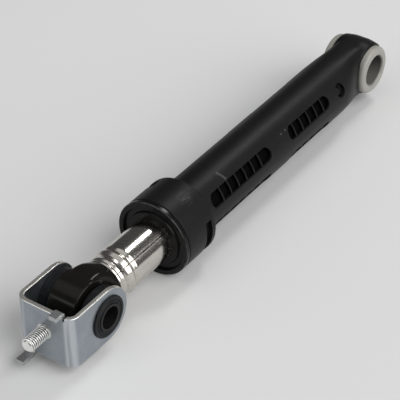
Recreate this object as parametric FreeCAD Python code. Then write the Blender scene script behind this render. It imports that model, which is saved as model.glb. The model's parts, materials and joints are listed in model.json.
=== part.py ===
"""Washing machine shock absorber: a friction damper with a moulded housing, a
steel tube rod and a folded mounting bracket. All sizes are in millimetres.

Frame: the origin is the centre of the upper eye's bush, on the damper's axis.
+X runs along the axis from the upper eye to the bracket, so the damper extends
towards +X. +Y runs along both pivots, and +Z is up as the damper lies.
"""
import FreeCAD, Part
import math
import os

os.makedirs("parts", exist_ok=True)

V = FreeCAD.Vector
ORIGIN = V(0, 0, 0)
X, Y, Z = V(1, 0, 0), V(0, 1, 0), V(0, 0, 1)
FAR = 60.0              # reach of a cutting tool past whatever it cuts
PAST = 1.0              # overshoot of a shorter cut past the face that it opens
SECTION_POINTS = 64     # points on each curve that a blend passes through

# Clearances
RUNNING = 0.05          # radial clearance of a piece that turns or slides on another
FREE = 0.3              # gap between moving pieces that do not guide each other

# Rod and what it carries
rod_radius = 10.0
rod_wall = 1.2
rod_inner_end = 54.0    # inner end of the tube, in the pose that is drawn
rod_outer_end = 196.4   # rolled end of the tube, over the rod eye
bead_neck = 9.2         # radius at the bottom of the rolled neck
bead_crest = 10.4       # radius of the flared bead beside the neck
small_bead = 10.0       # first small bead after the crest
last_bead = 9.7         # bead at the tube's mouth
bead_groove = 9.4       # bottoms of the grooves between the beads
mouth_radius = 9.3      # outside of the tube at its rolled end
tube_edge = 0.3
guide_flange = 2.0
guide_shank = 8.0
guide_wall = 2.4
guide_edge = 0.6

# Corners of the tube's rolled end: distance from the end, outside radius, rounding
rolled_profile = [
    (11.4, rod_radius, 1.5),
    (10.1, bead_neck, 0.9),
    (9.4, bead_neck, 0.9),
    (8.0, bead_crest, 0.6),
    (6.0, bead_groove, 0.9),
    (4.7, bead_groove, 0.7),
    (2.8, small_bead, 0.6),
    (1.7, bead_groove, 0.3),
    (0.9, last_bead, 0.4),
]

# Lower pivot, between the rod eye and the bracket
pivot_reach = 15.1      # rolled end of the tube to the pivot
eye_radius = 12.2
eye_half_length = 6.7
eye_float = 1.2         # slack of the eye between the grommets, to each side
eye_shift = -0.9        # where the eye rests in that slack
eye_edge = 0.6
spigot_length = 32.0    # how far the rod eye reaches into the tube
spigot_edge = 1.0
hub_radius = 8.0        # grommet inside the rod eye
hub_length = 7.0
hub_edge = 0.6
sleeve_radius = 6.0
sleeve_wall = 1.05
sleeve_edge = 0.3
sleeve_proud = 0.3      # sleeve past the grommet's outer lip
lip_radius = 9.2
lip_height = 0.9
lip_edge = 0.5
lip_groove = (6.9, 7.9)  # ring groove in the face of the lip
lip_groove_depth = 0.35
lip_mouth = 0.4         # bevel between the lip and the sleeve
flange_radius = 11.2
flange_edge = 0.4

# Neck of the rod eye: distance before the pivot, half width, half height, squareness, sideways shift
neck_sections = [
    (pivot_reach, 9.7, 9.7, 2.0, 0.0),
    (13.9, 9.4, 10.2, 2.2, -0.1),
    (11.1, 7.4, 11.1, 4.0, -0.3),
    (8.0, 6.7, 11.8, 6.0, -0.7),
    (5.0, 6.6, 12.0, 7.0, eye_shift),
    (2.0, 6.6, 12.0, 7.0, eye_shift),
]

# Bracket, folded from sheet
sheet = 2.0
sheet_edge = 0.35       # rounding of the blanked edges
bracket_half_width = 14.2
bracket_half_height = 12.4
web_distance = 21.8     # pivot to the web's outer face
fold_radius = 5.0       # outside of the fold
tab_width = 3.7
tab_offset = 7.8        # each tab from the stud, across the web
tab_rise = 2.4          # tab's outer face past the web's edge
tab_bend = 2.2          # outside of the tab's bend
top_tab_length = 3.4
bottom_tab_length = 7.2
relief_width = 0.9
relief_depth = 1.6

# Stud
stud_radius = 3.0
stud_length = 10.6
stud_rise = 1.2         # stud above the pivot's level
stud_chamfer = 0.8
stud_press_radius = 3.4  # knurled length that grips the web
stud_head_radius = 5.2
stud_head_height = 1.8
stud_head_edge = 0.5

# Housing tube
tube_radius = 13.5
bore_clearance = 0.5
bore_bottom = 22.0
bore_corner = 1.5
row_height = 6.4        # pocket rows above and below the axis
pocket_width = 5.8
pocket_floor = 11.3     # radius of the pocket floors
pocket_edge = 0.25      # rounding of the pockets' rims
rib = 0.8
rib_recess = 0.5        # ribs below the tube's surface
rib_pitch = 5.85
long_pocket = (91.0, 136.0)
long_pocket_ribs = 6
short_pocket = (42.5, 76.0)
short_pocket_ribs = 5
dimple_x = 32.3         # round core mark beside each upper pocket row
dimple_radius = 3.1
dimple_floor = 11.7
dimple_boss = 1.4       # radius of the boss left standing in it
boss_offset = 1.5       # boss from the dimple's centre, towards the head
boss_top = 12.9

# Housing head
head_radius = 17.7
head_back = 142.0       # where the head's full radius starts
shoulder_length = 2.4
shoulder_round = 0.8
head_length = 18.4
head_edge = 0.4
chamber_inset = 1.4     # chamber's floor past the start of the head's full radius
chamber_radius = 15.3
window_inset = 1.0      # latch windows past the chamber's floor
window_width = 4.2
window_angle = 78.0
window_centre = -20.0   # degrees from +Y towards +Z

# End cap
cap_gap = 0.5           # parting line between the cap's lip and the head
cap_lip = 1.8           # thickness of the lip
cap_plate = 3.8         # front plate's thickness at the rod
cap_edge = 0.45
cap_dish = 1.3
dish_inner = 12.4
dish_outer = 15.4
dish_draft = 0.5        # slope of the dish's sides
dish_edge = 0.2
collar_drop = 0.4       # collar round the rod below the cap's rim
latch_wall = 1.3
latch_clearance = 0.2
latch_recess = 1.7      # hook's outer face below the head's surface
hook_length = 2.4
latch_side_gap = 2.0    # degrees between a latch and each side of its window

# Friction liner in its carrier
carrier_wall = 0.9
carrier_clearance = 0.2
liner_split = 1.2

# Upper eye and its bush
upper_half_length = 8.5
upper_radius = 13.4
upper_crown = 3.5       # half length of the eye's full radius
upper_shoulder = 12.5   # radius at the eye's ends
crown_round = 14.0      # rounding where the eye starts to fall off
upper_edge = 1.5
tube_start = 28.0       # where the tube is fully round
tube_embed = 3.0        # how far the eye's blend reaches into the round tube
blend_radius = tube_radius - RUNNING  # end of the blend, just inside the round tube
bush_hub = 10.2
bush_bore = 7.25
bush_flange = 11.6
bush_proud = 3.1
bush_edge = 1.7
bush_mouth = 0.8
seat_gap = 0.4          # round the bush's flange, where the blend stands past the eye's end

# Blend from the upper eye to the tube: distance from the eye, half width, half height, squareness
upper_sections = [
    (0.0, 8.2, 12.6, 5.0),
    (5.0, 8.7, 13.3, 4.0),
    (11.0, 9.5, blend_radius, 3.1),
    (18.0, 11.4, blend_radius, 2.45),
    (23.5, 12.9, blend_radius, 2.1),
    (tube_start, blend_radius, blend_radius, 2.0),
    (tube_start + tube_embed, blend_radius, blend_radius, 2.0),
]

# Bump stop at the bottom of the bore
stop_height = 5.0
stop_hole = 3.0
stop_clearance = 1.6    # round the buffer, clear of the bore's rounded corner
stop_taper = 2.0
stop_edge = 1.0


def outline(corners):
    """Closed wire in the XY plane through (x, y) or (x, y, radius) corners,
    where a corner with a radius is rounded by a tangent arc."""
    points = [V(c[0], c[1], 0) for c in corners]
    radii = [c[2] if len(c) > 2 else 0.0 for c in corners]
    runs = []
    count = len(points)
    for i in range(count):
        corner, radius = points[i], radii[i]
        if radius == 0:
            runs.append((corner, None, corner))
            continue
        back = (points[i - 1] - corner).normalize()
        ahead = (points[(i + 1) % count] - corner).normalize()
        half = back.getAngle(ahead) / 2
        reach = radius / math.tan(half)
        middle = (back + ahead).normalize() * (radius / math.sin(half) - radius)
        runs.append((corner + back * reach, corner + middle, corner + ahead * reach))
    edges = []
    for i in range(count):
        start, middle, end = runs[i]
        if middle is not None:
            edges.append(Part.Arc(start, middle, end).toShape())
        following = runs[(i + 1) % count][0]
        if end.distanceToPoint(following) > 1e-6:
            edges.append(Part.LineSegment(end, following).toShape())
    return Part.Wire(edges)


def turned(corners):
    """Solid turned about the X axis from (x, radius) corners."""
    return Part.Face(outline(corners)).revolve(ORIGIN, X, 360)


def turned_on_pivot(corners, x=0.0):
    """Solid turned about the Y axis at x, from (y, radius) corners."""
    solid = turned(corners)
    solid.rotate(ORIGIN, Z, 90)
    solid.translate(V(x, 0, 0))
    return solid


def mirrored(corners):
    """Corners of a profile's other half, in the order that leads up to them."""
    return [(-c[0],) + c[1:] for c in reversed(corners)]


def plate(corners, bottom, top):
    """Outline in the XY plane as a solid from bottom to top in Z."""
    face = Part.Face(outline(corners))
    face.translate(V(0, 0, bottom))
    return face.extrude(V(0, 0, top - bottom))


def side_plate(corners, low, high):
    """Outline given as (x, z) corners, as a solid from low to high in Y."""
    solid = plate(corners, -high, -low)
    solid.rotate(ORIGIN, X, 90)
    return solid


def pin(radius, start, end, axis, centre=ORIGIN):
    """Cylinder along an axis, from start to end as measured from centre."""
    return Part.makeCylinder(radius, end - start, centre + axis * start, axis)


def across(x, half_width, half_height, squareness, shift=0.0):
    """Closed curve across the axis at x: an ellipse at squareness 2, nearly a rectangle at 8."""
    points = []
    for i in range(SECTION_POINTS):
        angle = math.tau * i / SECTION_POINTS
        side, up = math.cos(angle), math.sin(angle)
        total = abs(side / half_width) ** squareness + abs(up / half_height) ** squareness
        reach = total ** (-1 / squareness)
        points.append(V(x, side * reach + shift, up * reach))
    curve = Part.BSplineCurve()
    curve.interpolate(points, PeriodicFlag=True)
    return Part.Wire(curve.toShape())


def about_axis(solid, angle):
    copy = solid.copy()
    copy.rotate(ORIGIN, X, angle)
    return copy


# Values that several pieces share
bore_radius = rod_radius + bore_clearance
rod_bore = rod_radius - rod_wall
head_front = head_back + head_length
chamber_floor = head_back + chamber_inset
window_back = chamber_floor + window_inset
lip_back = head_front + cap_gap
cap_front = lip_back + cap_lip
plate_back = cap_front - cap_plate
plug_radius = chamber_radius - latch_clearance
carrier_radius = plug_radius - latch_wall - carrier_clearance
pivot_x = rod_outer_end + pivot_reach
pivot = V(pivot_x, 0, 0)
stud_foot = pivot + Z * stud_rise
web_outer = pivot_x + web_distance
web_inner = web_outer - sheet
ear_inner = bracket_half_width - sheet
ear_hole = hub_radius
lip_end = bracket_half_width + lip_height


def pocket_cells(span, ribs, side, row):
    """Cells of one row of pockets, drawn out sideways as the mould's slide is."""
    start, end = span
    half = pocket_width / 2
    low, high = sorted((0.0, side * FAR))
    slot = side_plate([(start, row - half, half), (end, row - half, half),
                       (end, row + half, half), (start, row + half, half)], low, high)
    cells = slot.cut(pin(pocket_floor, start, end, X))
    rib_top = pin(tube_radius - rib_recess, start, end, X)
    first = (start + end - rib_pitch * (ribs - 1)) / 2
    for i in range(ribs):
        x = first + i * rib_pitch
        wall = Part.makeBox(rib, FAR * 2, FAR * 2, V(x - rib / 2, -FAR, -FAR))
        cells = cells.cut(wall.common(rib_top))
    return cells


def rim_edges(body, span):
    """Edges of the body on the tube's surface and within a span along the axis."""
    start, end = span
    found = []
    for edge in body.Edges:
        box = edge.BoundBox
        on_tube = all(abs(math.hypot(p.y, p.z) - tube_radius) < RUNNING for p in edge.discretize(5))
        if on_tube and box.XMin > start - RUNNING and box.XMax < end + RUNNING:
            found.append(edge)
    return found


def ring_sector(inner, outer, start, end, angle, middle):
    """Part of a ring about the X axis, angle degrees wide and centred on middle."""
    face = Part.Face(outline([(start, inner), (end, inner), (end, outer), (start, outer)]))
    solid = face.revolve(ORIGIN, X, angle)
    return about_axis(solid, middle - angle / 2)


def housing_bore():
    """Bore for the rod, with the chamber for the friction unit at its mouth."""
    mouth = head_front + PAST
    return turned([(bore_bottom, 0), (bore_bottom, bore_radius, bore_corner), (chamber_floor, bore_radius),
                   (chamber_floor, chamber_radius), (mouth, chamber_radius), (mouth, 0)])


def make_housing():
    """One moulding: eye, ribbed tube and the head that holds the friction unit."""
    shoulder_end = head_back - shoulder_length
    body = turned([(tube_start, 0), (tube_start, tube_radius), (shoulder_end, tube_radius, shoulder_round),
                   (head_back, head_radius, shoulder_round), (head_front, head_radius, head_edge),
                   (head_front, 0)])
    half = [(upper_crown, upper_radius, crown_round), (upper_half_length, upper_shoulder, upper_edge),
            (upper_half_length, 0)]
    eye = turned_on_pivot(mirrored(half) + half)
    blend = Part.makeLoft([across(*section) for section in upper_sections], True)
    body = body.fuse(blend).fuse(eye)
    body = body.cut(pin(bush_hub, -FAR, FAR, Y))
    for side in (1, -1):
        body = body.cut(pin(bush_flange + seat_gap, upper_half_length, FAR, Y * side))
    for span, ribs in ((long_pocket, long_pocket_ribs), (short_pocket, short_pocket_ribs)):
        for side in (1, -1):
            for row in (row_height, -row_height):
                body = body.cut(pocket_cells(span, ribs, side, row))
        body = body.makeFillet(pocket_edge, rim_edges(body, span))
    for side in (1, -1):
        dimple = pin(dimple_radius, 0, FAR, Y * side, V(dimple_x, 0, side * row_height))
        boss = pin(dimple_boss, 0, FAR, Y * side, V(dimple_x + boss_offset, 0, side * row_height))
        body = body.cut(dimple.cut(pin(dimple_floor, 0, FAR, X)).cut(boss.common(pin(boss_top, 0, FAR, X))))
        window = ring_sector(chamber_radius - PAST, head_radius + PAST, window_back,
                             window_back + window_width, window_angle, window_centre)
        body = body.cut(about_axis(window, 90 - 90 * side))
    return body.cut(housing_bore())


def make_end_cap():
    """Front plate that closes the head, on two latches that hook into its windows."""
    collar_face = cap_front - collar_drop
    dish_bottom = cap_front - cap_dish
    front = turned([(plate_back, rod_radius + RUNNING), (plate_back, plug_radius), (lip_back, plug_radius),
                    (lip_back, head_radius), (cap_front, head_radius, cap_edge),
                    (cap_front, dish_outer, dish_edge), (dish_bottom, dish_outer - dish_draft),
                    (dish_bottom, dish_inner + dish_draft), (collar_face, dish_inner, dish_edge),
                    (collar_face, rod_radius + RUNNING)])
    latch_angle = window_angle - latch_side_gap * 2
    latch_inner = plug_radius - latch_wall
    hook_back = window_back + latch_clearance
    hook_front = hook_back + hook_length
    hook_radius = head_radius - latch_recess
    finger = ring_sector(latch_inner, plug_radius, hook_back, plate_back + PAST, latch_angle, window_centre)
    hook = ring_sector(latch_inner, hook_radius, hook_back, hook_front, latch_angle, window_centre)
    latch = finger.fuse(hook)
    return front.fuse(latch).fuse(about_axis(latch, 180)).removeSplitter()


def make_liner_carrier():
    """Thin cage that keeps the friction liner round the rod."""
    inner = carrier_radius - carrier_wall
    back, front = chamber_floor + carrier_wall, plate_back - carrier_wall
    return turned([(chamber_floor, bore_radius), (chamber_floor, carrier_radius),
                   (plate_back, carrier_radius), (plate_back, bore_radius), (front, bore_radius),
                   (front, inner), (back, inner), (back, bore_radius)])


def make_friction_liner():
    """Greased foam strip, wrapped round the rod with a slit where its ends meet."""
    outer = carrier_radius - carrier_wall
    inner = rod_radius + RUNNING
    back, front = chamber_floor + carrier_wall, plate_back - carrier_wall
    strip = turned([(back, inner), (back, outer), (front, outer), (front, inner)])
    slit = Part.makeBox(front, liner_split, FAR, V(0, -liner_split / 2, 0))
    return strip.cut(slit)


def make_bump_stop():
    """Rubber buffer on the bottom of the bore."""
    radius = bore_radius - stop_clearance
    top = bore_bottom + stop_height
    return turned([(bore_bottom, stop_hole), (bore_bottom, radius), (top - stop_edge, radius, stop_edge),
                   (top, radius - stop_taper, stop_edge), (top, stop_hole)])


def make_upper_bush():
    """Spool-shaped rubber bush, flanged on both sides of the eye."""
    end = upper_half_length + bush_proud
    half = [(upper_half_length, bush_hub), (upper_half_length, bush_flange),
            (end, bush_flange, bush_edge), (end, bush_bore + bush_mouth),
            (end - bush_mouth, bush_bore)]
    return turned_on_pivot(mirrored(half) + half)


def rolled_end(depth=0.0):
    """Corners of the tube's rolled end, at a depth below its outside."""
    return [(rod_outer_end - back, radius - depth, rounding) for back, radius, rounding in rolled_profile]


def make_rod_tube():
    """Rolled steel tube, formed down over the rod eye's spigot at its outer end."""
    return turned([(rod_inner_end, rod_bore), (rod_inner_end, rod_radius, tube_edge)] + rolled_end()
                  + [(rod_outer_end, mouth_radius), (rod_outer_end, mouth_radius - rod_wall)]
                  + rolled_end(rod_wall)[::-1])


def make_rod_guide():
    """Plastic guide in the tube's inner end. Its flange runs in the housing's bore."""
    shank = rod_bore - RUNNING
    hollow = shank - guide_wall
    flange = bore_radius - FREE
    start = rod_inner_end - guide_flange
    end = rod_inner_end + guide_shank
    return turned([(start, hollow), (start, flange, guide_edge), (rod_inner_end, flange),
                   (rod_inner_end, shank), (end, shank, guide_edge), (end, hollow)])


def make_rod_eye():
    """Moulded eye: a spigot inside the tube, a neck that turns from round to flat, and the barrel."""
    inner_end = rod_outer_end - spigot_length
    spigot = turned([(inner_end, 0), (inner_end, rod_bore, spigot_edge)] + rolled_end(rod_wall)
                    + [(rod_outer_end, mouth_radius - rod_wall), (rod_outer_end, 0)])
    neck = Part.makeLoft([across(pivot_x - section[0], *section[1:]) for section in neck_sections], True)
    near, far = eye_shift + eye_half_length, eye_shift - eye_half_length
    barrel = turned_on_pivot([(far, 0), (far, eye_radius, eye_edge), (near, eye_radius, eye_edge),
                              (near, 0)], pivot_x)
    eye = neck.fuse(barrel).fuse(spigot)
    return eye.cut(pin(hub_radius + RUNNING, -FAR, FAR, Y, pivot)).removeSplitter()


def make_grommet(side):
    """Rubber grommet snapped into one ear: hub, inner flange, groove and outer lip."""
    flange_start = eye_half_length + eye_float
    hub_start = flange_start - hub_length
    groove_inner, groove_outer = lip_groove
    groove_floor = lip_end - lip_groove_depth
    hub = [(hub_start, sleeve_radius), (hub_start, hub_radius, hub_edge), (flange_start, hub_radius)]
    flange = [(flange_start, flange_radius, flange_edge), (ear_inner, flange_radius)]
    seat = [(ear_inner, ear_hole), (bracket_half_width, ear_hole)]
    lip = [(bracket_half_width, lip_radius), (lip_end, lip_radius, lip_edge), (lip_end, groove_outer),
           (groove_floor, groove_outer - lip_groove_depth), (groove_floor, groove_inner + lip_groove_depth),
           (lip_end, groove_inner), (lip_end, sleeve_radius + lip_mouth),
           (lip_end - lip_mouth, sleeve_radius)]
    solid = turned_on_pivot(hub + flange + seat + lip, pivot_x)
    if side < 0:
        solid.rotate(pivot, Z, 180)
    return solid


def make_pivot_sleeve():
    """Hollow sleeve through both grommets, which the rod eye swings round."""
    end = lip_end + sleeve_proud
    inner = sleeve_radius - sleeve_wall
    return turned_on_pivot([(-end, inner), (-end, sleeve_radius, sleeve_edge),
                            (end, sleeve_radius, sleeve_edge), (end, inner)], pivot_x)


def blanked_edges(folded):
    """Edges along the blank's outline: neither the fold lines nor the short ones across the sheet."""
    found = []
    for edge in folded.Edges:
        box = edge.BoundBox
        fold_line = box.XLength < RUNNING and box.YLength < RUNNING
        across_sheet = edge.Length < sheet + RUNNING
        if not fold_line and not across_sheet:
            found.append(edge)
    return found


def folded_blank():
    """Sheet folded into a U, with round ear ends and its blanked edges rounded."""
    out, fold_inside = bracket_half_width, fold_radius - sheet
    folded = plate([(0, out), (web_outer, out, fold_radius), (web_outer, -out, fold_radius), (0, -out),
                    (0, -ear_inner), (web_inner, -ear_inner, fold_inside),
                    (web_inner, ear_inner, fold_inside), (0, ear_inner)],
                   -bracket_half_height, bracket_half_height)
    ears = pin(bracket_half_height, -FAR, FAR, Y, pivot)
    web = Part.makeBox(FAR, FAR * 2, bracket_half_height * 2, V(pivot_x, -FAR, -bracket_half_height))
    folded = folded.common(ears.fuse(web))
    return folded.makeFillet(sheet_edge, blanked_edges(folded))


def bent_tab(y, length, up):
    """Tab bent forward from the web's top edge (up = 1) or bottom edge (up = -1)."""
    edge = up * bracket_half_height
    outer = edge + up * tab_rise
    inner = outer - up * sheet
    root = edge - up * relief_depth
    tip = web_outer + length
    return side_plate([(web_inner, root), (web_inner, outer, tab_bend), (tip, outer), (tip, inner),
                       (web_outer, inner, tab_bend - sheet), (web_outer, root)],
                      y - tab_width / 2, y + tab_width / 2)


def make_bracket():
    """Sheet folded into a U: a web with two bent tabs, and two ears with round ends."""
    bracket = folded_blank().cut(pin(ear_hole, -FAR, FAR, Y, pivot))
    for y, length, up in ((tab_offset, top_tab_length, 1), (-tab_offset, bottom_tab_length, -1)):
        for side in (-1, 1):
            slot_start = y + side * (tab_width + relief_width) / 2 - relief_width / 2
            corner = V(web_inner - PAST, slot_start, up * bracket_half_height - relief_depth)
            bracket = bracket.cut(Part.makeBox(sheet + PAST * 2, relief_width, relief_depth * 2, corner))
        bracket = bracket.fuse(bent_tab(y, length, up))
    return bracket.cut(pin(stud_press_radius, 0, FAR, X, stud_foot)).removeSplitter()


def make_stud():
    """Screw stud pressed through the web from inside, with its head behind it."""
    tip = web_outer + stud_length
    head = web_inner - stud_head_height
    stud = turned([(head, 0), (head, stud_head_radius, stud_head_edge), (web_inner, stud_head_radius),
                   (web_inner, stud_press_radius), (web_outer, stud_press_radius),
                   (web_outer, stud_radius), (tip - stud_chamfer, stud_radius),
                   (tip, stud_radius - stud_chamfer), (tip, 0)])
    stud.translate(Z * stud_rise)
    return stud


pieces = {
    "housing": make_housing(),
    "upper_bush": make_upper_bush(),
    "end_cap": make_end_cap(),
    "liner_carrier": make_liner_carrier(),
    "friction_liner": make_friction_liner(),
    "bump_stop": make_bump_stop(),
    "rod_guide": make_rod_guide(),
    "rod_tube": make_rod_tube(),
    "rod_eye": make_rod_eye(),
    "grommet_near": make_grommet(1),
    "grommet_far": make_grommet(-1),
    "pivot_sleeve": make_pivot_sleeve(),
    "bracket": make_bracket(),
    "stud": make_stud(),
}

for name, shape in pieces.items():
    solid = shape.Solids[0] if len(shape.Solids) == 1 else shape
    print(name, "solids", len(shape.Solids), "valid", shape.isValid(), "volume", round(shape.Volume, 1))
    solid.exportStep("parts/" + name + ".step")
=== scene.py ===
# %% [markdown]
# # A washing machine damper on the bench
#
# The damper arrives as exact solids: a ribbed black housing, a plated tube that slides in it, and a
# folded bracket on a pivot. They stay where they are, as a fixed frame. This lesson models the two
# pieces whose fine form the solids leave out, gives every surface its finish, and lights the damper
# for a picture.

# %% Load the frame
import json
import math

import bmesh
import bpy
from mathutils import Matrix, Vector


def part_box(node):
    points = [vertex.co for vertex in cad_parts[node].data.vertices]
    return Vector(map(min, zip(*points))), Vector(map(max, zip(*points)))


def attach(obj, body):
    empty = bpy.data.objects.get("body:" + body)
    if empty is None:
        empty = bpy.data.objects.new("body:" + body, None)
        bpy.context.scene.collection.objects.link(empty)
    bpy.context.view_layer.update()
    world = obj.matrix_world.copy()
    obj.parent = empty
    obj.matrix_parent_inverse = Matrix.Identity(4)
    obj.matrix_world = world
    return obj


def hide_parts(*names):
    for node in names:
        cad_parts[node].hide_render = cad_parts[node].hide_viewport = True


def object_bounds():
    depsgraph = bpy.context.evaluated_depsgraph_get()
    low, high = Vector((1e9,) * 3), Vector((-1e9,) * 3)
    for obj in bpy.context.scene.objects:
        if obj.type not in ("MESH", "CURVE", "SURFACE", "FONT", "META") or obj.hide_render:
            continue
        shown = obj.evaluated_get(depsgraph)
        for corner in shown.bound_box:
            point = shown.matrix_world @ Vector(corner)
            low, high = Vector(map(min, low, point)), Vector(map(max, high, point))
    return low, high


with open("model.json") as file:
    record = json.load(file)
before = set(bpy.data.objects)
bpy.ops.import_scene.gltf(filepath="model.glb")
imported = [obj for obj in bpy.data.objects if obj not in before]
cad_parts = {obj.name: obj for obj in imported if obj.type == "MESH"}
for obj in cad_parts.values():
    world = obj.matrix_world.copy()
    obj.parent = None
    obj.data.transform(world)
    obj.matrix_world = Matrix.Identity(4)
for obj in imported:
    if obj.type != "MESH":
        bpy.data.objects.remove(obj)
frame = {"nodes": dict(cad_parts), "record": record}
MM = 0.001
solids = frame["nodes"]
mounts = {mount["name"]: mount for mount in frame["record"]["mounts"]}
cad_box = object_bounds()
print("solids:", ", ".join(sorted(solids)))
print("size in mm:", [round(side / MM, 1) for side in cad_box[1] - cad_box[0]])

# %% [markdown]
# ## The camera
#
# The picture looks down on the damper from beyond its bracket, so the bracket is near and the upper
# eye is far. The camera could be pushed about until the outlines agree, but every round edge of the
# damper is seen as an ellipse, and the shape of those ellipses gives the two angles directly. A long
# lens keeps the far eye almost as large as it really is beside the near bracket.

# %% Place the camera
IMAGE_WIDTH = 400                       # pixels, and as many high
FOCAL_LENGTH = 1626.6                   # pixels
SENSOR = 36.0                           # millimetres
AZIMUTH = math.radians(125.34)
ELEVATION = math.radians(37.47)
ROLL = math.radians(-0.59)
DISTANCE = 697.1 * MM
AIM = Vector((128.46, 0.0, -1.31)) * MM

towards_camera = Vector((math.sin(AZIMUTH) * math.cos(ELEVATION),
                         -math.cos(AZIMUTH) * math.cos(ELEVATION),
                         math.sin(ELEVATION)))
turn = towards_camera.to_track_quat("Z", "Y").to_matrix() @ Matrix.Rotation(ROLL, 3, "Z")
bpy.ops.object.select_all(action="DESELECT")
bpy.ops.object.camera_add(location=AIM + towards_camera * DISTANCE, rotation=turn.to_euler())
camera = bpy.context.active_object
camera.data.sensor_width = SENSOR
camera.data.lens = FOCAL_LENGTH / IMAGE_WIDTH * SENSOR
bpy.context.scene.camera = camera
bpy.context.scene.view_settings.view_transform = "Standard"
print("camera at", [round(c, 3) for c in camera.location], "lens", round(camera.data.lens, 1), "mm")

# %% [markdown]
# ## The stud's thread
#
# The bracket is fixed by a small screw stud, pressed through its web from inside. A thread is one
# ridge that winds round a core, so that is how it is made: the ridge's section is a narrow trapezium,
# a Screw modifier winds it along the stud, and Booleans join it to the core and cut the whole to the
# stud's outside, with its chamfered tip. Bump would not do here, because the crests break the outline.

# %% Sizes of the stud
STUD_RADIUS = mounts["stud"]["dims"]["r_mm"] * MM
STUD_RISE = mounts["stud"]["pos_m"][2]
WEB_FACE = mounts["web_face"]["pos_m"][0]
STUD_HEAD, STUD_TIP = (corner.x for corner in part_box("stud"))
HEAD_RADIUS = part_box("stud")[1].y
PITCH = 1.0 * MM
THREAD_DEPTH = 0.58 * MM
CREST = 0.34 * MM
CREST_ROUNDING = 0.15 * MM
ROOT = 0.86 * MM
SINK = 0.15 * MM                        # the ridge's foot lies this far inside the core
BURIED_TURNS = 1.5                      # the ridge starts this many turns inside the web
TIP_CHAMFER = 0.8 * MM
SHEET = 2.0 * MM
PRESS_RADIUS = 3.4 * MM
TURN_STEPS = 48
STUD_SHARP = 35                         # degrees, above which an edge stays sharp

core_radius = STUD_RADIUS - THREAD_DEPTH
print("thread: core", round(core_radius / MM, 2), "mm, pitch", PITCH / MM, "mm")

# %% [markdown]
# ## Working by hand, in code
#
# Blender's operators act on whatever is selected, just as the mouse does. These few helpers take the
# place of clicking: one makes a single object current, one settles a new primitive's place into its
# mesh, and one selects parts of a mesh by where they lie. The last adds a modifier and applies it.


# %% Selecting and settling
def make_current(piece):
    """Leaves one object selected and active."""
    bpy.ops.object.select_all(action="DESELECT")
    piece.select_set(True)
    bpy.context.view_layer.objects.active = piece


def settle(name):
    """Names the primitive just added, and moves its place, turn and scale into its mesh."""
    piece = bpy.context.active_object
    piece.name = name
    piece.data.name = name
    make_current(piece)
    bpy.ops.object.transform_apply(location=True, rotation=True, scale=True)
    return piece


def pick(kind, test):
    """In edit mode, selects each vertex or edge whose corners all pass a test."""
    bpy.ops.mesh.select_mode(type=kind)
    bpy.ops.mesh.select_all(action="DESELECT")
    data = bpy.context.edit_object.data
    mesh = bmesh.from_edit_mesh(data)
    for part in {"VERT": mesh.verts, "EDGE": mesh.edges}[kind]:
        corners = [part] if kind == "VERT" else part.verts
        part.select_set(all(test(corner.co) for corner in corners))
    mesh.select_flush_mode()
    bmesh.update_edit_mesh(data)


def apply_modifier(piece, name, kind, **settings):
    """Adds a modifier, sets it and applies it."""
    make_current(piece)
    modifier = piece.modifiers.new(name, kind)
    for key, value in settings.items():
        setattr(modifier, key, value)
    bpy.ops.object.modifier_apply(modifier=modifier.name)


# %% [markdown]
# ## Winding the ridge
#
# On the real stud the thread is rolled, so its crests are rounded. A single plane is enough to start
# from: its outer edge is narrowed to the crest's width and its outer corners are bevelled. Only its
# outline is wound, because the filled faces of every step would be left inside the ridge.

# %% Wind the ridge
foot = core_radius - SINK
middle = (foot + STUD_RADIUS) / 2
thread_start = WEB_FACE - BURIED_TURNS * PITCH
bpy.ops.object.select_all(action="DESELECT")
bpy.ops.mesh.primitive_plane_add(size=1, location=(thread_start, 0, middle), rotation=(math.pi / 2, 0, 0))
bpy.context.active_object.scale = (ROOT, STUD_RADIUS - foot, 1)
ridge = settle("thread_ridge")
bpy.ops.object.mode_set(mode="EDIT")
pick("VERT", lambda p: p.z > middle)
bpy.ops.transform.resize(value=(CREST / ROOT, 1, 1), center_override=(thread_start, 0, middle))
bpy.ops.mesh.bevel(offset=CREST_ROUNDING, segments=3, affect="VERTICES")
bpy.ops.mesh.select_all(action="SELECT")
bpy.ops.mesh.delete(type="ONLY_FACE")
bpy.ops.object.mode_set(mode="OBJECT")
turns = math.ceil((STUD_TIP - thread_start) / PITCH)
apply_modifier(ridge, "winding", "SCREW", axis="X", angle=math.tau, screw_offset=PITCH,
               iterations=turns, steps=TURN_STEPS, render_steps=TURN_STEPS)
bpy.ops.object.mode_set(mode="EDIT")
bpy.ops.mesh.select_all(action="SELECT")
bpy.ops.mesh.fill_holes(sides=0)
bpy.ops.mesh.normals_make_consistent(inside=False)
bpy.ops.object.mode_set(mode="OBJECT")
print("ridge:", turns, "turns,", len(ridge.data.polygons), "faces")

# %% [markdown]
# ## Joining the ridge to its core
#
# Apart from its thread the stud is plain and round: a core, a shank that fills the hole in the web, and
# a flat head behind it. They could be spun from one outline, but closed bars that a Boolean joins are
# easier to change one by one. The core is left long, and the cut with a chamfered bar gives the ridge
# and the core the same clean tip.

# %% Bars, chamfers and Booleans
ACROSS_X = (0, math.pi / 2, 0)          # turns a circle's or cylinder's axis from Z to X
SAME_PLACE = 0.01 * MM                  # corners this close to a plane lie on it
DOUBLE = 0.0001 * MM                    # corners this close are one corner
OVERLAP = SHEET / 2                     # bars reach this far into each other, so that they join cleanly


def round_bar(name, radius, start, end):
    """Cylinder along the damper's axis from start to end."""
    bpy.ops.object.select_all(action="DESELECT")
    bpy.ops.mesh.primitive_cylinder_add(vertices=TURN_STEPS * 2, radius=radius, depth=end - start,
                                        location=((start + end) / 2, 0, 0), rotation=ACROSS_X)
    return settle(name)


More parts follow.
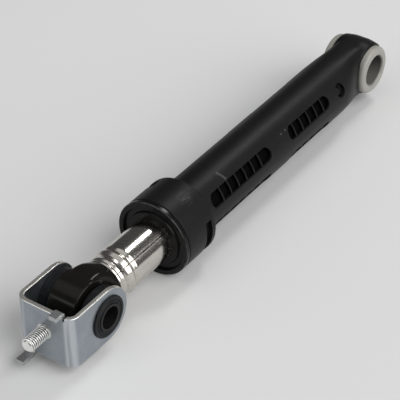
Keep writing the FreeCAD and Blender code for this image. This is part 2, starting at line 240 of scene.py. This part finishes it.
def chamfer_end(piece, x, width):
    """Bevels the rim of a bar's end at x."""
    make_current(piece)
    bpy.ops.object.mode_set(mode="EDIT")
    pick("EDGE", lambda p: abs(p.x - x) < SAME_PLACE)
    bpy.ops.mesh.bevel(offset=width, segments=1, affect="EDGES")
    bpy.ops.object.mode_set(mode="OBJECT")


def combine(piece, other, operation):
    """Boolean of two closed pieces. The second one is used up."""
    apply_modifier(piece, operation.lower(), "BOOLEAN", object=other, operation=operation,
                   solver="MANIFOLD")
    bpy.data.objects.remove(other)


def clean_up(piece, sharp_degrees):
    """Merges doubles, turns the faces outwards and shades the piece smooth up to an angle."""
    make_current(piece)
    bpy.ops.object.mode_set(mode="EDIT")
    bpy.ops.mesh.select_all(action="SELECT")
    bpy.ops.mesh.remove_doubles(threshold=DOUBLE)
    bpy.ops.mesh.normals_make_consistent(inside=False)
    bpy.ops.object.mode_set(mode="OBJECT")
    bpy.ops.object.shade_smooth_by_angle(angle=math.radians(sharp_degrees))
    print(piece.name, len(piece.data.polygons), "faces")


# %% Build the stud up
stud = round_bar("threaded_stud", core_radius, WEB_FACE - SHEET, STUD_TIP + PITCH)
combine(stud, ridge, "UNION")
outside = round_bar("stud_outside", STUD_RADIUS + SINK, WEB_FACE - OVERLAP, STUD_TIP)
chamfer_end(outside, STUD_TIP, TIP_CHAMFER + SINK)
combine(stud, outside, "INTERSECT")
shank = round_bar("stud_shank", PRESS_RADIUS, WEB_FACE - SHEET - OVERLAP, WEB_FACE)
combine(stud, shank, "UNION")
head = round_bar("stud_head", HEAD_RADIUS, STUD_HEAD, WEB_FACE - SHEET)
chamfer_end(head, STUD_HEAD, TIP_CHAMFER / 2)
combine(stud, head, "UNION")
clean_up(stud, STUD_SHARP)
bpy.ops.transform.translate(value=(0, 0, STUD_RISE))
bpy.ops.object.transform_apply(location=True)
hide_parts("stud")
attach(stud, "bracket")

# %% [markdown]
# ## The rolled tube and its seam
#
# The rod is a steel strip rolled into a tube, so a fine seam runs along it, and its end is rolled
# down over the plastic eye in a neck and three beads. A lathe shape could be spun, but a ring that is
# extruded and scaled from station to station gives the same form and leaves tidy lengthwise edges.
# One of those edges becomes the seam: it is bevelled, and its middle line is pulled in.

# %% Sizes of the tube
TUBE_START, TUBE_END = (corner.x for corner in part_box("rod_tube"))
TUBE_RADIUS = 10.0 * MM
TUBE_WALL = 1.2 * MM
MOUTH_RADIUS = 9.3 * MM
TUBE_SHARP = 40                         # degrees, above which an edge stays sharp
RING_STEPS = 120                        # a lengthwise edge falls on every third degree
SEAM_ANGLE = math.radians(45)           # from +Y towards +Z
SEAM_TOLERANCE = math.radians(0.2)
SEAM_WIDTH = 0.45 * MM
SEAM_DEPTH = 0.22 * MM
# Corners of the rolled end, in millimetres: distance from the end, radius, length of the rounding
ROLLED_END = ((11.4, 10.0, 0.42), (10.1, 9.2, 0.25), (9.4, 9.2, 0.33),
              (8.0, 10.4, 0.40), (6.0, 9.4, 0.21), (4.7, 9.4, 0.11),
              (2.8, 10.0, 0.25), (1.7, 9.4, 0.14), (0.9, 9.7, 0.16))

rolled_corners = [(TUBE_END - back * MM, radius * MM, rounding * MM)
                  for back, radius, rounding in ROLLED_END]
stations = [(x, radius) for x, radius, rounding in rolled_corners] + [(TUBE_END, MOUTH_RADIUS)]
print("tube from", round(TUBE_START / MM, 1), "to", round(TUBE_END / MM, 1), "mm")

# %% Extrude the ring along its stations
bpy.ops.object.select_all(action="DESELECT")
bpy.ops.mesh.primitive_circle_add(vertices=RING_STEPS, radius=TUBE_RADIUS, location=(TUBE_START, 0, 0),
                                  rotation=ACROSS_X)
tube = settle("seamed_tube")
bpy.ops.object.mode_set(mode="EDIT")
bpy.ops.mesh.select_all(action="SELECT")
x, radius = TUBE_START, TUBE_RADIUS
for next_x, next_radius in stations:
    bpy.ops.mesh.extrude_region_move(TRANSFORM_OT_translate={"value": (next_x - x, 0, 0)})
    scale = next_radius / radius
    bpy.ops.transform.resize(value=(1, scale, scale), center_override=(next_x, 0, 0))
    x, radius = next_x, next_radius
print("rings:", len(stations) + 1)


# %% Press the seam in and round the beads
def on_seam(p):
    """Whether a corner lies on the seam's line."""
    return abs(math.atan2(p.z, p.y) - SEAM_ANGLE) < SEAM_TOLERANCE


pick("EDGE", on_seam)
bpy.ops.mesh.bevel(offset=SEAM_WIDTH / 2, segments=2, affect="EDGES")
pick("VERT", on_seam)
inwards = 1 - SEAM_DEPTH / TUBE_RADIUS
bpy.ops.transform.resize(value=(1, inwards, inwards), center_override=(0, 0, 0))
for x, radius, rounding in rolled_corners:
    pick("EDGE", lambda p: abs(p.x - x) < SAME_PLACE)
    bpy.ops.mesh.bevel(offset=rounding, segments=6, affect="EDGES")
bpy.ops.object.mode_set(mode="OBJECT")
clean_up(tube, TUBE_SHARP)
apply_modifier(tube, "wall", "SOLIDIFY", thickness=TUBE_WALL, offset=-1, use_even_offset=True)
bpy.ops.object.shade_smooth_by_angle(angle=math.radians(TUBE_SHARP))
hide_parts("rod_tube")
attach(tube, "rod")
print(tube.name, len(tube.data.polygons), "faces, radius",
      round(max(math.hypot(v.co.y, v.co.z) for v in tube.data.vertices) / MM, 2), "mm")

# %% [markdown]
# ## A small language for finishes
#
# Every finish below is mixed from procedural nodes, so it has no pictures in it and looks right from
# any side. Wiring nodes one by one hides the idea, so sums on shader values are written as plain
# Python: one class wraps a socket, and each operator adds the Math node that does it. All other nodes
# come from one method that takes the node's type, its settings and what goes into its sockets.


# %% Sums on sockets
def plug(tree, socket, value):
    """Links a wrapped socket to an input, or sets the input's own value."""
    if isinstance(value, Value):
        tree.links.new(value.socket, socket)
    else:
        socket.default_value = value


class Value:
    """A shader value that Python can do sums on."""

    def __init__(self, tree, socket):
        self.tree = tree
        self.socket = socket

    def sum(self, operation, first, second):
        """Adds the Math node that does one sum."""
        node = self.tree.nodes.new("ShaderNodeMath")
        node.operation = operation
        plug(self.tree, node.inputs[0], first)
        plug(self.tree, node.inputs[1], second)
        return Value(self.tree, node.outputs[0])

    def __add__(self, other):
        return self.sum("ADD", self, other)

    def __radd__(self, other):
        return self.sum("ADD", other, self)

    def __sub__(self, other):
        return self.sum("SUBTRACT", self, other)

    def __rsub__(self, other):
        return self.sum("SUBTRACT", other, self)

    def __mul__(self, other):
        return self.sum("MULTIPLY", self, other)

    def __rmul__(self, other):
        return self.sum("MULTIPLY", other, self)


# %% [markdown]
# ## A material being mixed
#
# All finishes share a few ideas: cloudy noise, a mask that rises smoothly, a mark near a point, two
# colours blended, fine bump. Each becomes one method, so that a finish can be read as a recipe. The
# pattern's place is always the piece's own Object coordinates, so it moves with the piece.

# %% What most finishes share
MIX_FACTOR, MIX_FIRST, MIX_SECOND, MIX_RESULT = 0, 6, 7, 2      # a Mix node's sockets for colours


def socket_name(key):
    """Name of a shader socket, from a Python keyword."""
    return key.replace("_", " ").title().replace("Ior", "IOR")


class Finish:
    """A material being mixed, with the nodes that most finishes share."""

    def __init__(self, name, **constants):
        self.material = bpy.data.materials.new(name)
        self.material.use_nodes = True
        self.tree = self.material.node_tree
        self.shader = self.tree.nodes["Principled BSDF"]
        self.feed(**constants)
        self.place = self.node("ShaderNodeTexCoord", {}, {}, "Object")

    def node(self, kind, settings, feeds, out=0):
        """Any node: its type, its settings, then the values or links of its sockets."""
        node = self.tree.nodes.new(kind)
        for key, value in settings.items():
            setattr(node, key, value)
        for key, value in feeds.items():
            plug(self.tree, node.inputs[key], value)
        return Value(self.tree, node.outputs[out])

    def feed(self, **feeds):
        """Sets what is the same all over the surface, or links what varies, on the shader."""
        for key, value in feeds.items():
            plug(self.tree, self.shader.inputs[socket_name(key)], value)

    def overlay(self, mask, **constants):
        """Shows a second, plain shader where the mask is 1."""
        plain = self.node("ShaderNodeBsdfPrincipled", {},
                          {socket_name(key): value for key, value in constants.items()})
        skin = Value(self.tree, self.shader.outputs[0])
        both = self.node("ShaderNodeMixShader", {}, {0: mask, 1: skin, 2: plain})
        plug(self.tree, self.tree.nodes["Material Output"].inputs["Surface"], both)

    def axis(self, name):
        """One coordinate of the place."""
        return self.node("ShaderNodeSeparateXYZ", {}, {"Vector": self.place}, name)

    def stretched(self, x, y, z):
        """Place scaled along each axis."""
        return self.node("ShaderNodeMapping", {}, {"Vector": self.place, "Scale": (x, y, z)})

    def measured(self, axes, centre=(0, 0, 0)):
        """Place measured from a centre, along the named axes only."""
        kept = [float(axis in axes) for axis in "XYZ"]
        shift = [-part * keep for part, keep in zip(centre, kept)]
        return self.node("ShaderNodeMapping", {},
                         {"Vector": self.place, "Location": shift, "Scale": kept})

    def length(self, vector):
        """Length of a vector."""
        return self.node("ShaderNodeVectorMath", {"operation": "LENGTH"}, {0: vector}, "Value")

    def noise(self, size, detail=3.0, rough=0.55, where=None):
        """Cloudy values round a half, with patches of a size in metres."""
        feeds = {"Vector": where or self.place, "Scale": 1 / size, "Detail": detail, "Roughness": rough}
        return self.node("ShaderNodeTexNoise", {}, feeds)

    def ramp(self, value, low, high):
        """0 below low, 1 above high, and a smooth rise between."""
        return self.node("ShaderNodeMapRange", {"interpolation_type": "SMOOTHSTEP"},
                         {"Value": value, "From Min": low, "From Max": high})

    def near(self, point, reach, fade):
        """1 within reach of a point, fading to 0."""
        return 1 - self.ramp(self.length(self.measured("XYZ", point)), reach, reach + fade)

    def highest(self, first, second):
        """The larger of two values."""
        return self.node("ShaderNodeMath", {"operation": "MAXIMUM"}, {0: first, 1: second})

    def blend(self, factor, first, second):
        """Two colours mixed by a factor."""
        return self.node("ShaderNodeMix", {"data_type": "RGBA"},
                         {MIX_FACTOR: factor, MIX_FIRST: first, MIX_SECOND: second}, MIX_RESULT)

    def bump(self, height, depth, strength=1.0):
        """Normal of a surface raised by depth metres where height is 1."""
        return self.node("ShaderNodeBump", {},
                         {"Height": height, "Distance": depth, "Strength": strength})


# %% Colours, and dressing a piece
def colour(red, green, blue):
    """Colour for a shader socket."""
    return (red, green, blue, 1)


def grey(level):
    """Colour that is the same in all three parts."""
    return colour(level, level, level)


def dress(material, *names):
    """Gives solids or new pieces one finish."""
    for name in names:
        piece = solids.get(name) or bpy.data.objects[name]
        piece.data.materials.clear()
        piece.data.materials.append(material)
    print(material.name, "on", ", ".join(names))


# %% [markdown]
# ## The housing's black plastic
#
# The housing is glass-filled nylon: nearly black, with a fine grain from the mould and a dull sheen
# that changes along the way the plastic flowed. It has also been handled, which leaves a pale scratch,
# two small chips and a rubbed patch on its head. The grain could be modelled, but it is finer than any
# edge, so it is bump, and the marks are masks in object coordinates, so they stay where they are. The
# pockets get painted shade: a mask by the distance from the axis finds them, and shows a second, plain
# shader there, near black and duller than the skin.

# %% Masks on the housing
SCRATCH = (Vector((123.5, 5.5, 12.3)) * MM, Vector((122.3, 8.7, 10.3)) * MM)
CHIPS = (Vector((80.2, 9.9, 9.1)) * MM, Vector((76.8, 9.8, 9.3)) * MM)
RUBBED = Vector((149.5, 7.2, 16.2)) * MM
SKIN_RADIUS = 12.8 * MM                 # below this the tube's surface is pocket
SKIN_FADE = 0.3 * MM
POCKETS_START, POCKETS_END = 30 * MM, 142 * MM
POCKETS_FADE = 2 * MM
BLACK_SHINE = 0.18                      # specular level of the black plastics
print("scratch:", round((SCRATCH[1] - SCRATCH[0]).length / MM, 1), "mm long")


def along(mix, ends, steps, reach, fade):
    """Mask of evenly spaced marks from one end to the other."""
    mask = mix.near(ends[0], reach, fade)
    for step in range(1, steps + 1):
        mask = mix.highest(mask, mix.near(ends[0].lerp(ends[1], step / steps), reach, fade))
    return mask


def handling(mix):
    """Mask of what handling has left: a scratch, chips and a streaky rubbed patch."""
    scratch = along(mix, SCRATCH, steps=4, reach=0.2 * MM, fade=0.8 * MM)
    chips = along(mix, CHIPS, steps=1, reach=0.1 * MM, fade=0.6 * MM)
    streaks = mix.noise(0.9 * MM, detail=5, where=mix.stretched(0.3, 1, 1))
    rubbed = mix.near(RUBBED, reach=0.5 * MM, fade=4.5 * MM) * mix.ramp(streaks, 0.35, 0.75)
    return mix.highest(mix.highest(scratch * 0.45, chips * 0.6), rubbed * 0.45)


def pocket_shade(mix):
    """Mask of the ribbed pocket walls and floors, where shade is painted."""
    forwards = mix.axis("X")
    from_axis = mix.length(mix.measured("YZ"))
    ribbed = (mix.ramp(forwards, POCKETS_START, POCKETS_START + POCKETS_FADE)
              - mix.ramp(forwards, POCKETS_END - POCKETS_FADE, POCKETS_END))
    return ribbed * (1 - mix.ramp(from_axis, SKIN_RADIUS - SKIN_FADE, SKIN_RADIUS))


# %% Mix the housing's plastic
def housing_plastic():
    mix = Finish("moulded_black_plastic", specular_ior_level=BLACK_SHINE)
    grain = mix.noise(0.35 * MM, detail=2)
    cloud = mix.noise(14 * MM, detail=4)
    flow = mix.noise(9 * MM, detail=3, where=mix.stretched(0.12, 1, 1))
    speckle = mix.ramp(mix.noise(0.8 * MM, detail=1), 0.62, 0.75)
    tone = mix.blend(cloud, colour(0.004, 0.0041, 0.0042), colour(0.009, 0.0088, 0.0084))
    tone = mix.blend(speckle * 0.3, tone, grey(0.02))
    mix.feed(base_color=mix.blend(handling(mix), tone, grey(0.12)),
             roughness=0.37 + flow * 0.16,
             normal=mix.bump(grain + flow * 0.4, depth=0.03 * MM, strength=0.55))
    # painted shade: the pockets are made near black, dull and almost without shine
    mix.overlay(pocket_shade(mix), base_color=grey(0.002), roughness=0.8, specular_ior_level=0.03)
    return mix.material


dress(housing_plastic(), "housing")

# %% [markdown]
# ## The smoother black plastics
#
# The end cap and the rod eye come from polished moulds, so they are glossier than the housing and
# draw thin bright lines along their edges. The cap's front edge also gets a painted highlight: a pale
# line, broken up by noise. The edge is found by its radius and its place along the axis, so a mask of
# the two is enough.

# %% Mix the cap's and the eye's plastic
CAP_FRONT, CAP_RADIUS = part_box("end_cap")[1].x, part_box("end_cap")[1].z
RIM = 0.45 * MM                         # rounding of the cap's front edge


def rim_highlight(mix):
    """Mask of the cap's front edge, where a highlight is painted, broken up by noise."""
    round_rim = mix.ramp(mix.length(mix.measured("YZ")), CAP_RADIUS - RIM, CAP_RADIUS - RIM / 2)
    at_front = mix.ramp(mix.axis("X"), CAP_FRONT - RIM, CAP_FRONT)
    return round_rim * at_front * mix.ramp(mix.noise(6 * MM, detail=4), 0.3, 0.7)


def glossy_plastic(name, dark, pale, smoothest, highlight_mask=None):
    """Black plastic from a polished mould. The highlight mask, if given, marks where a highlight is
    painted pale.
    """
    mix = Finish(name, specular_ior_level=BLACK_SHINE)
    grain = mix.noise(0.4 * MM, detail=2)
    cloud = mix.noise(8 * MM, detail=4)
    tone = mix.blend(cloud, dark, pale)
    if highlight_mask:
        # painted highlight: pale grey where the mask is 1
        tone = mix.blend(highlight_mask(mix), tone, grey(0.14))
    mix.feed(base_color=tone,
             roughness=smoothest + cloud * 0.16,
             normal=mix.bump(grain, depth=0.02 * MM, strength=0.4))
    return mix.material


dress(glossy_plastic("cap_plastic", dark=grey(0.004), pale=grey(0.008), smoothest=0.16, highlight_mask=rim_highlight),
      "end_cap")
dress(glossy_plastic("eye_plastic", dark=colour(0.006, 0.0057, 0.005), pale=colour(0.012, 0.011, 0.0095),
                     smoothest=0.12),
      "rod_eye")

# %% [markdown]
# ## The rubbers
#
# The upper bush is a light grey rubber, soft to the eye, and its bore is darkened: partly grime, partly
# painted shade that is darkest high up. The grommets and the buffer are black rubber with a dusty bloom.
# One recipe could serve for both, but the grey rubber shows its darkened bore and the black one its dust,
# so each has its own.

# %% Mix the rubbers
BORE_RADIUS = mounts["upper_bore"]["dims"]["r_mm"] * MM


def grey_rubber():
    mix = Finish("grey_rubber")
    cloud = mix.noise(5 * MM, detail=4)
    pores = mix.noise(0.5 * MM, detail=2)
    in_bore = 1 - mix.ramp(mix.length(mix.measured("XZ")), BORE_RADIUS, BORE_RADIUS + 0.9 * MM)
    shade_high_up = mix.ramp(mix.axis("Z"), -5 * MM, 3 * MM)
    # the bore is darkened by grime and by painted shade, more high up
    grime_and_shade = in_bore * (0.45 + cloud * 0.2 + shade_high_up * 0.4)
    tone = mix.blend(cloud, colour(0.26, 0.255, 0.23), colour(0.35, 0.34, 0.305))
    mix.feed(base_color=mix.blend(grime_and_shade, tone, colour(0.035, 0.036, 0.036)),
             roughness=0.28 + pores * 0.2,
             normal=mix.bump(pores, depth=0.03 * MM, strength=0.5))
    return mix.material


def black_rubber():
    mix = Finish("black_rubber", specular_ior_level=0.2)
    dust = mix.ramp(mix.noise(2.5 * MM, detail=5), 0.45, 0.75)
    pores = mix.noise(0.25 * MM, detail=2)
    mix.feed(base_color=mix.blend(dust * 0.5, colour(0.006, 0.0065, 0.0075), colour(0.022, 0.023, 0.026)),
             roughness=0.5 + dust * 0.25,
             normal=mix.bump(pores, depth=0.02 * MM, strength=0.5))
    return mix.material


dress(grey_rubber(), "upper_bush")
dress(black_rubber(), "grommet_near", "grommet_far", "bump_stop")

# %% [markdown]
# ## The small plastics and the foam
#
# The sleeve in the pivot is black plastic, and what works inside the head is uncoloured plastic and
# greased foam. The plastics differ only in colour, so one function mixes them all. The foam is open
# cells: a Voronoi pattern gives each cell a dark hollow and a pale rim, which noise would blur.


# %% Mix the small plastics and the foam
def plain_plastic(name, dark, pale):
    mix = Finish(name, specular_ior_level=0.2)
    cloud = mix.noise(4 * MM, detail=4)
    grain = mix.noise(0.3 * MM, detail=2)
    mix.feed(base_color=mix.blend(cloud, dark, pale),
             roughness=0.38 + grain * 0.2,
             normal=mix.bump(grain, depth=0.02 * MM, strength=0.4))
    return mix.material


def greased_foam():
    mix = Finish("greased_foam")
    cells = mix.node("ShaderNodeTexVoronoi", {}, {"Vector": mix.place, "Scale": 1 / (0.6 * MM)})
    mix.feed(base_color=mix.blend(cells, colour(0.16, 0.12, 0.07), colour(0.45, 0.37, 0.25)),
             roughness=0.35 + cells * 0.4,
             normal=mix.bump(cells, depth=0.15 * MM))
    return mix.material


dress(plain_plastic("sleeve_plastic", dark=grey(0.006), pale=grey(0.012)), "pivot_sleeve")
dress(plain_plastic("natural_plastic", dark=colour(0.66, 0.63, 0.55), pale=colour(0.78, 0.76, 0.70)),
      "liner_carrier", "rod_guide")
dress(greased_foam(), "friction_liner")

# %% [markdown]
# ## The tube's plating
#
# The tube is bright plated over a drawn surface, so its streaks run along it, fine pits show here and
# there, and its rolled end is a little duller. Dirt stays in the seam, as a thin dark line. Like the
# other metals it is fully metallic: what makes it look worn is how its roughness varies from place to
# place. Streaks could be drawn as lines, but noise that is stretched along the tube never repeats.

# %% Mix the tube's plating
SEAM_LINE = (0, TUBE_RADIUS * math.cos(SEAM_ANGLE), TUBE_RADIUS * math.sin(SEAM_ANGLE))


def plated_tube():
    mix = Finish("plated_tube", metallic=1.0)
    drawn = mix.noise(0.5 * MM, detail=4, where=mix.stretched(0.03, 1, 1))
    cloud = mix.noise(6 * MM, detail=4)
    pits = mix.ramp(mix.noise(0.45 * MM, detail=2), 0.62, 0.74)
    seam = 1 - mix.ramp(mix.length(mix.measured("YZ", SEAM_LINE)), 0.15 * MM, 0.45 * MM)
    rolled = mix.ramp(mix.axis("X"), stations[0][0], stations[1][0])
    tone = mix.blend(cloud, colour(0.54, 0.51, 0.47), colour(0.66, 0.64, 0.60))
    tone = mix.blend(mix.ramp(drawn, 0.52, 0.68) * 0.4, tone, colour(0.40, 0.37, 0.33))
    mix.feed(base_color=mix.blend(mix.highest(pits * 0.4, seam * 0.8), tone, colour(0.14, 0.12, 0.10)),
             roughness=0.10 + drawn * 0.12 + pits * 0.2 + rolled * 0.08,
             normal=mix.bump(drawn - pits * 0.5, depth=0.012 * MM, strength=0.4))
    return mix.material


dress(plated_tube(), "seamed_tube")

# %% [markdown]
# ## The bracket's zinc
#
# The bracket is zinc plated sheet, bluish and cloudy, with the faint lines of the rolling mill. Its folds
# get pale bands, bend marks with a painted highlight along the bends, and its blanked edges are pale, cut
# metal with a painted highlight, and a weaker painted light goes on over the tabs. The edges could have a
# material of their own, but plating runs on over them, so they are a mask by the distance from the pivot,
# which is the centre of the ears' round ends, and by the height above and below it further on.

# %% Mix the bracket's zinc
FOLD_START = 226.5 * MM                 # the sheet starts to bend here, from each ear to the web
FOLD_INNER = 9.0 * MM
FOLD_FADE = 2 * MM
BLANK_HALF_HEIGHT = 12.4 * MM           # also the radius of the ears' ends, round the pivot
PIVOT_X = sum(corner.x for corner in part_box("pivot_sleeve")) / 2


def fold_marks_and_highlight(mix):
    """Mask of the pale bands on the two folds: bend marks with a painted highlight."""
    fold = mix.ramp(mix.axis("X"), FOLD_START, WEB_FACE)
    outside_ears = mix.ramp(mix.length(mix.measured("Y")), FOLD_INNER, FOLD_INNER + FOLD_FADE)
    bands = mix.ramp(mix.noise(2.4 * MM, detail=1, where=mix.stretched(1, 1, 0.05)), 0.42, 0.60)
    return fold * outside_ears * bands


def edge_highlight_and_tab_light(mix):
    """Mask of the edge round the ears and along the web: pale cut metal with a painted highlight. It is
    weaker beyond that, as painted light on the tabs.
    """
    from_pivot = mix.measured("XZ", (PIVOT_X, 0, 0))
    # In front of the pivot X is cut to 0, so that only the height counts there
    behind = mix.node("ShaderNodeVectorMath", {"operation": "MINIMUM"}, {0: from_pivot, 1: (0, 1, 1)})
    reach = mix.length(behind)
    edge = mix.ramp(reach, BLANK_HALF_HEIGHT - 0.45 * MM, BLANK_HALF_HEIGHT - 0.1 * MM)
    return edge - mix.ramp(reach, BLANK_HALF_HEIGHT + 0.2 * MM, BLANK_HALF_HEIGHT + 0.6 * MM) * 0.65


def zinc_sheet():
    mix = Finish("zinc_sheet", metallic=1.0)
    cloud = mix.noise(7 * MM, detail=5, rough=0.6)
    mill = mix.noise(0.6 * MM, detail=3, where=mix.stretched(1, 1, 0.04))
    spots = mix.ramp(mix.noise(1.2 * MM, detail=3), 0.60, 0.78)
    tone = mix.blend(cloud, colour(0.24, 0.275, 0.31), colour(0.42, 0.45, 0.48))
    tone = mix.blend(spots * 0.35, tone, colour(0.26, 0.29, 0.32))
    # painted highlight on the edges, and painted light on the tabs
    tone = mix.blend(edge_highlight_and_tab_light(mix) * (1 - spots * 0.6), tone, colour(0.80, 0.78, 0.73))
    # pale fold bands: bend marks with a painted highlight
    mix.feed(base_color=mix.blend(fold_marks_and_highlight(mix) * 0.6, tone, colour(0.74, 0.77, 0.80)),
             roughness=0.26 + cloud * 0.16 + mill * 0.08,
             normal=mix.bump(mill + cloud * 0.5, depth=0.02 * MM, strength=0.4))
    return mix.material


dress(zinc_sheet(), "bracket")

# %% [markdown]
# ## The stud's zinc
#
# The stud is zinc too, and the brightest metal of the three. Painted shade darkens the grooves of its
# thread, which is what makes the turns stand out as dark lines. The mesh alone gives only their shading,
# so a mask by the distance from the stud's own axis paints that shade into the grooves, and stops short
# of the tip.


# %% Mix the stud's zinc
def zinc_stud():
    mix = Finish("zinc_stud", metallic=1.0)
    cloud = mix.noise(1.5 * MM, detail=4)
    turned = mix.noise(0.2 * MM, detail=2)
    from_axis = mix.length(mix.measured("YZ", (0, 0, STUD_RISE)))
    deep = 1 - mix.ramp(from_axis, STUD_RADIUS - THREAD_DEPTH * 0.8, STUD_RADIUS - THREAD_DEPTH * 0.3)
    on_tip = mix.ramp(mix.axis("X"), STUD_TIP - TIP_CHAMFER * 1.2, STUD_TIP - TIP_CHAMFER)
    groove_shade = deep * (1 - on_tip)
    tone = mix.blend(cloud, colour(0.82, 0.82, 0.81), colour(0.93, 0.93, 0.91))
    # painted shade in the thread's grooves
    mix.feed(base_color=mix.blend(groove_shade * 0.85, tone, colour(0.10, 0.10, 0.095)),
             roughness=0.24 + turned * 0.14,
             normal=mix.bump(turned, depth=0.01 * MM, strength=0.4))
    return mix.material


dress(zinc_stud(), "threaded_stud")

# %% [markdown]
# ## The table
#
# The damper lies on a pale table, on the round of its head. A curved backdrop would do as well, but the
# picture looks down so far that a plain sheet fills it, and it gives the metals an even ground to
# mirror.

# %% Lay the table
TABLE_SIZE = 6.0                        # metres
TABLE_HEIGHT = cad_box[0].z


def pale_table():
    mix = Finish("pale_table")
    cloud = mix.noise(300 * MM, detail=2)
    mix.feed(base_color=mix.blend(cloud, grey(0.72), grey(0.76)), roughness=0.75 + cloud * 0.1)
    return mix.material


bpy.ops.object.select_all(action="DESELECT")
bpy.ops.mesh.primitive_plane_add(size=TABLE_SIZE, location=(AIM.x, 0, TABLE_HEIGHT))
table = settle("table")
dress(pale_table(), "table")

# %% [markdown]
# ## The light
#
# A long cylinder mirrors only the lights that stand on one cone round its axis, so the lights are
# chosen one by one. The large soft one at the side stays off that cone: it shapes the black plastic
# and leaves the tube dark. It hangs far away, so that the table is lit evenly. A narrow one beyond the
# upper eye lies on the cone, and draws the bright bar along the tube. Two weaker ones, above and in
# front, pick out the rims and the stud's thread. The sky is a dark even grey, which gives the metals
# something to show beside the lights.

# %% Hang the lights
# Direction from the damper, distance and diameter in metres, power in watts
LIGHTS = {
    "side_light": ((0.0, 0.80, 0.60), 3.6, 4.2, 145),
    "bar_light": ((-0.62, 0.0, 0.78), 1.6, 0.4, 5.5),
    "top_light": ((0.25, -0.20, 0.95), 2.2, 2.2, 7),
    "front_light": ((0.93, -0.30, 0.22), 2.0, 1.5, 12),
}
SKY_LEVEL = 0.08

for name, (direction, distance, diameter, power) in LIGHTS.items():
    towards = Vector(direction).normalized()
    bpy.ops.object.select_all(action="DESELECT")
    bpy.ops.object.light_add(type="AREA", location=AIM + towards * distance,
                             rotation=towards.to_track_quat("Z", "Y").to_euler())
    light = bpy.context.active_object
    light.name = name
    light.data.shape = "DISK"
    light.data.size = diameter
    light.data.energy = power
    print(name, "at", [round(c, 2) for c in light.location], power, "W")

world = bpy.data.worlds.new("studio")
bpy.context.scene.world = world
world.use_nodes = True
world.node_tree.nodes["Background"].inputs["Color"].default_value = grey(SKY_LEVEL)
